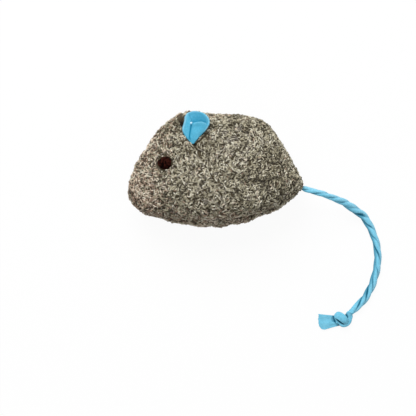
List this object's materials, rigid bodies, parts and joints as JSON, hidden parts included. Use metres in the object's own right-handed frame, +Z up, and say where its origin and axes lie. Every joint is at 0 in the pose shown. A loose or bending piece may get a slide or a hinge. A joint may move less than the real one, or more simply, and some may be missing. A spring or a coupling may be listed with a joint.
{
  "type": "catnip mouse toy",
  "caption": "Stuffed fabric mouse toy for cats, lying on its side, with folded felt ears, stitched eyes and a knotted cord tail.",
  "frame": {"origin": "middle of the body's and ears' box in X and Y, on the surface that the toy lies on", "axes": "+X from the nose to the tail, +Y from the belly to the back, +Z up out of the left flank"},
  "size_m": [0.1279, 0.1106, 0.0425],
  "materials": {
    "fabric": "nubby woven, matt",
    "ear_felt": "felt, matt",
    "tack_thread": "thread",
    "eye_thread": "satin stitch",
    "tail_strip": "twisted cloth, matt",
    "seam_thread": "thread",
    "fibrefill": "loose fibre",
    "catnip": "dried leaf"
  },
  "bodies": {
    "body": {"left_side_panel": "fabric", "right_side_panel": "fabric", "belly_panel": "fabric", "head_stuffing": "fibrefill", "body_stuffing": "fibrefill", "catnip_charge": "catnip", "left_eye": "eye_thread", "right_eye": "eye_thread", "spine_seam_thread": "seam_thread", "left_belly_seam_thread": "seam_thread", "right_belly_seam_thread": "seam_thread", "left_dart_thread": "seam_thread", "right_dart_thread": "seam_thread", "closing_stitch_thread": "seam_thread", "tail_sewn_end": "tail_strip"},
    "left_ear": {"left_ear": "ear_felt", "left_ear_tack": "tack_thread"},
    "right_ear": {"right_ear": "ear_felt", "right_ear_tack": "tack_thread"},
    "tail": {"tail_cord": "tail_strip", "tail_knot": "tail_strip", "tail_flared_end": "tail_strip"}
  },
  "joints": [
    {"name": "left_ear_flop", "type": "hinge", "parent": "body", "child": "left_ear", "pos_m": [-0.01483, 0.01481, 0.03723], "axis": [0.4953, -0.7434, 0.4494], "range_deg": [0, 40], "stiffness_Nm_per_rad": 0.002},
    {"name": "right_ear_flop", "type": "hinge", "parent": "body", "child": "right_ear", "pos_m": [-0.01483, 0.01481, 0.00377], "axis": [-0.4953, 0.7434, 0.4494], "range_deg": [0, 40], "stiffness_Nm_per_rad": 0.002},
    {"name": "tail_swing", "type": "hinge", "parent": "body", "child": "tail", "pos_m": [0.04331, -0.00949, 0.0205], "axis": [0, 0, 1], "range_deg": [-45, 45], "stiffness_Nm_per_rad": 0.001}
  ]
}
